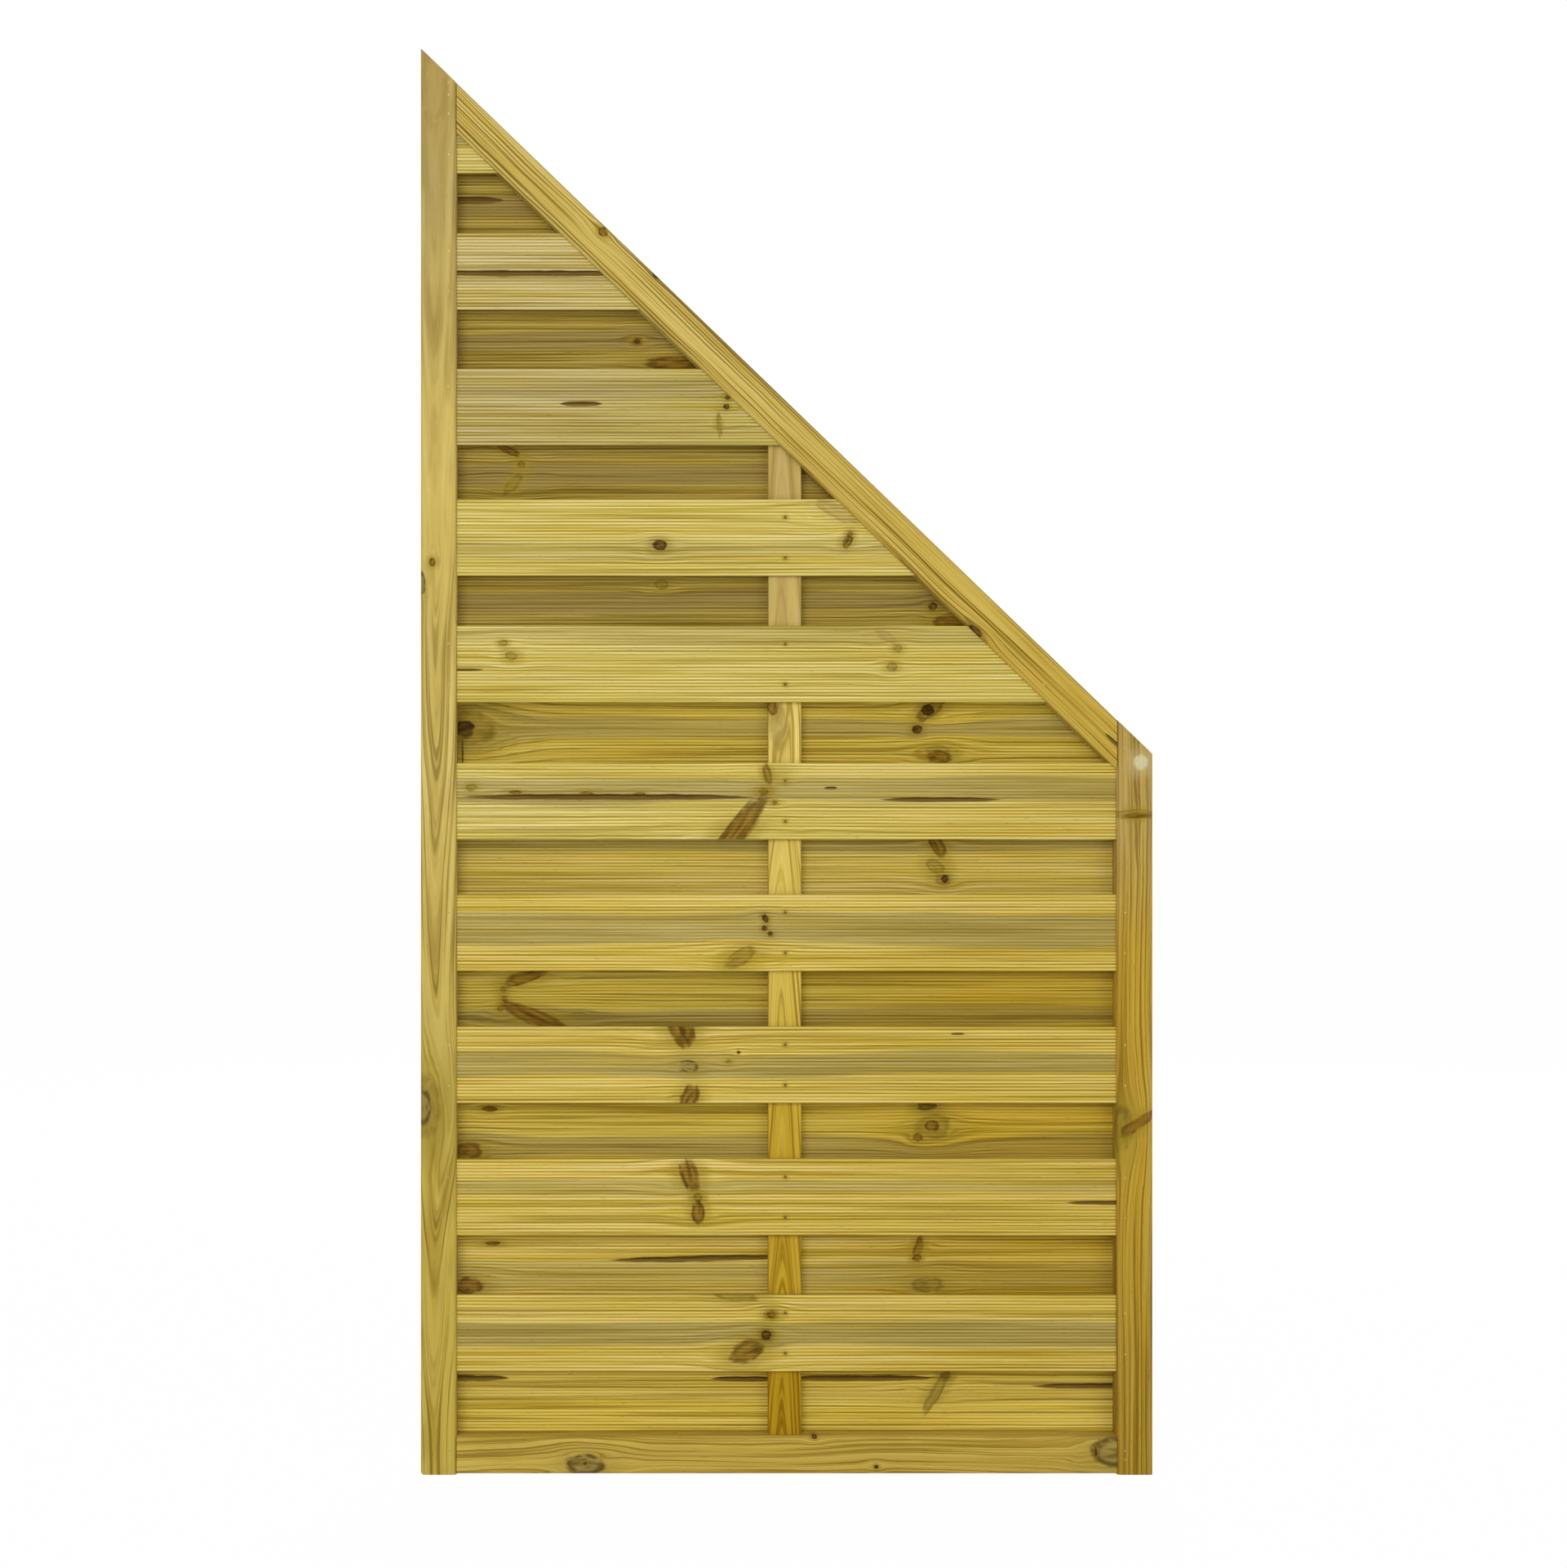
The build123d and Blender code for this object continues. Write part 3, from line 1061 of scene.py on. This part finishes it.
BACK_SLATS = SlatLayer([
    back(1, 1564.5, Pine.DIM_SLAT, cracks=[Crack(-425.0, -352.0, 8.1, 6.0)]),
    back(2, 1397.1, Pine.DIM_SLAT,
         knots=[Knot(-183.0, 0.9, 6.0, 4.5), Knot(-183.0, 0.9, 3.5, 3.0, kind=BLACK),
                Knot(-139.0, -26.5, 30.0, 8.0)]),
    back(3, 1233.3, Pine.DIM_SLAT,
         knots=[Knot(-344.5, 30.4, 15.0, 4.5, 0.45), Knot(-327.0, 11.4, 4.5, 4.0),
                Knot(-338.0, -12.6, 15.0, 6.0, -0.88, GREEN)]),
    back(4, 1074.9, Pine.DIM_SLAT,
         knots=[Knot(183.0, -5.5, 5.0, 4.5, kind=BLACK), Knot(206.0, -24.5, 22.0, 8.0),
                Knot(-153.0, 21.5, 8.0, 5.0, kind=GREEN)]),
    back(5, 912.5, grain=Grain(6.0, 13.0), cracks=[Crack(-415.0, -385.0, -23.5, 1.6, 1.57)],
         knots=[Knot(-388.0, 5.5, 24.0, 20.0, kind=GREEN), Knot(-397.0, 4.5, 11.0, 10.0, kind=BLACK),
                Knot(182.0, 29.5, 20.0, 7.0, -0.6), Knot(177.0, 28.5, 7.0, 6.0, kind=BLACK),
                Knot(164.0, 4.2, 5.5, 5.0, kind=BLACK), Knot(190.0, -22.5, 14.0, 6.0, kind=GREEN),
                Knot(191.0, -30.5, 14.0, 8.0)]),
    back(6, 747.2, Pine.GOLD_SLAT, shade=0.84, grain=Grain(26.0, 8.0, 0.7),
         knots=[Knot(189.0, 25.4, 15.0, 7.0, 1.0), Knot(186.0, 0.4, 11.0, 7.0, 0.4, GREEN),
                Knot(195.0, -16.6, 9.0, 6.0, kind=GREEN), Knot(198.0, -15.6, 4.0, 4.0, kind=BLACK)]),
    back(7, 584.8, shade=0.9, grain=Grain(-24.0, 9.0), drifts=WARM_RIGHT,
         knots=[Knot(-349.0, 9.4, 3.6, 3.4, kind=BLACK), Knot(-348.0, -1.6, 3.4, 3.2, kind=BLACK),
                Knot(-353.0, -13.6, 3.6, 3.4, kind=BLACK), Knot(-321.0, 25.4, 26.0, 7.0, -0.33),
                Knot(-312.0, -23.6, 38.0, 9.0, 0.36)]),
    back(8, 421.9, shade=1.02, grain=Grain(-20.0, 12.0), drifts=WARM_RIGHT,
         knots=[Knot(-366.0, 24.4, 8.0, 3.0), Knot(-393.0, -27.6, 16.0, 9.0),
                Knot(176.0, 30.4, 11.0, 7.0, kind=BLACK), Knot(184.0, 2.4, 20.0, 13.0, kind=GREEN),
                Knot(182.0, 3.4, 8.0, 6.5), Knot(165.0, -10.9, 5.5, 5.0)]),
    back(9, 256.8, Pine.GOLD_SLAT, shade=0.96, grain=Grain(-16.0, 13.0, 0.7), drifts=WARM_RIGHT,
         cracks=[Crack(-208.0, -8.0, 4.0, 5.0, -0.02)],
         knots=[Knot(-362.0, 23.0, 8.0, 2.5), Knot(-392.0, -30.0, 16.0, 10.0),
                Knot(165.0, 18.0, 13.0, 5.0, -1.35), Knot(163.5, 4.6, 5.0, 4.0),
                Knot(177.0, -28.0, 18.0, 9.0, kind=GREEN)]),
    back(10, 93.7, shade=1.22, grain=Grain(4.0, 13.0, 0.5),
         knots=[Knot(199.0, 22.1, 6.0, 5.0, kind=BLACK), Knot(186.0, 1.1, 27.0, 6.0, -1.05, GREEN)],
         cracks=[Crack(-425.0, -346.0, 19.1, 5.0), Crack(-88.0, -12.0, 18.1, 4.5),
                 Crack(10.0, 178.0, 19.1, 5.0), Crack(312.0, 470.0, 9.1, 4.5)]),
])

FRAME_TIMBERS = PanelFrame([
    Timber("left_stile", Lay.UPRIGHT, (-428.0, 0.0, 0.0), Pine.STILE, 41.0,
           grain=Grain(heart_across=5.0, heart_reach=10.0, ring_step=2.4, waver=5.0, arch=7.0, lean=-0.05,
                       fade=(850.0, 1250.0)),
           knots=[shallow(1705.0, 6.0, 50.0, 14.0, kind=FAINT, pull=0.0),
                  shallow(1122.0, 8.0, 4.5, 4.0), shallow(1096.0, 22.0, 13.0, 5.0, kind=GREY),
                  shallow(453.0, 20.0, 36.0, 22.0, kind=GREEN, pull=1.0),
                  shallow(453.0, 22.0, 23.0, 12.0, kind=GREY, pull=0.0)],
           drifts=[Drift(srgb(184, 160, 58), 900.0, 200.0, 0.8),
                   Drift(srgb(172, 152, 96), 1200.0, 1650.0, 0.6)]),
    Timber("right_stile", Lay.UPRIGHT, (428.0, 0.0, 0.0), Pine.OCHRE, 43.0,
           grain=Grain(heart_across=20.0, heart_reach=8.0, ring_step=2.6, waver=6.0),
           knots=[shallow(425.0, 16.0, 24.0, 12.0, kind=GREEN, pull=1.2),
                  shallow(432.0, -4.0, 27.0, 6.0, 0.99, pull=0.0),
                  shallow(812.0, 0.0, 32.0, 5.0, 1.57, kind=GREEN, pull=0.0),
                  shallow(811.0, -4.0, 16.0, 3.0, 1.5, pull=0.0),
                  shallow(876.0, -7.0, 9.0, 9.0, kind=RESIN, pull=0.0)],
           drifts=[Drift(srgb(176, 148, 72), 600.0, 820.0, 0.9),
                   Drift(srgb(164, 132, 40), 500.0, 0.0, 0.8)]),
    Timber("sloped_top_rail", Lay.SLOPED, (0.0, 0.0, 1289.4), Pine.RAIL, 45.0, shade=0.96,
           grain=Grain(heart_across=-14.0, heart_reach=5.0, ring_step=2.0, waver=4.0, ripple=0.8),
           knots=[shallow(-328.0, 15.0, 6.0, 4.5), shallow(342.0, -20.0, 9.0, 4.0, kind=BLACK),
                  shallow(-244.5, 22.5, 6.0, 3.0, kind=BLACK, pull=0.0)],
           cracks=[Crack(545.0, 585.0, 0.0, 3.0)],
           drifts=[Drift(srgb(192, 160, 56), -300.0, 600.0, 0.8)]),
    Timber("sill", Lay.LEVEL, (0.0, 0.0, 24.0), Pine.SILL, 47.0, shade=1.06,
           grain=Grain(heart_across=-4.0, heart_reach=8.0, ring_step=2.4, waver=8.0, ripple=0.8),
           knots=[shallow(-248.0, -10.4, 20.0, 12.0, kind=GREY, pull=1.0),
                  shallow(-248.0, -10.0, 2.2, 1.6, kind=BLACK), shallow(404.0, 4.0, 25.0, 17.0, kind=GREY),
                  shallow(380.0, 5.0, 5.0, 1.6, 1.57, kind=BLACK, pull=0.0),
                  shallow(34.0, 22.0, 3.0, 2.0, kind=BLACK), shallow(110.0, -14.0, 2.5, 2.0, kind=BLACK)]),
    Timber("centre_batten", Lay.UPRIGHT, (-1.5, 0.0, 0.0), Pine.BATTEN, 49.0, shade=1.03,
           grain=Grain(heart_across=4.0, heart_reach=8.0, ring_step=2.2, waver=4.0, arch=6.0, lean=0.07,
                       fade=(960.0, 1040.0)),
           knots=[Knot(921.0, 8.0, 26.0, 10.0, 0.0, FAINT), Knot(944.0, 15.0, 9.0, 6.5)],
           drifts=[Drift(srgb(188, 155, 36), 900.0, 300.0), Drift(srgb(199, 170, 61), 230.0, 120.0),
                   Drift(srgb(218, 195, 99), 830.0, 870.0), Drift(srgb(183, 158, 79), 1000.0, 1044.0)]),
])


def main() -> None:
    """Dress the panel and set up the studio."""
    logging.basicConfig(level=logging.INFO, format="%(name)s: %(message)s")
    bpy.context.scene.view_settings.view_transform = "Standard"
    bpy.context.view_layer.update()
    Studio().build()
    FRAME_TIMBERS.dress()
    FRONT_SLATS.dress()
    BACK_SLATS.dress()
    Brads().dress()


if __name__ == "__main__":
    main()
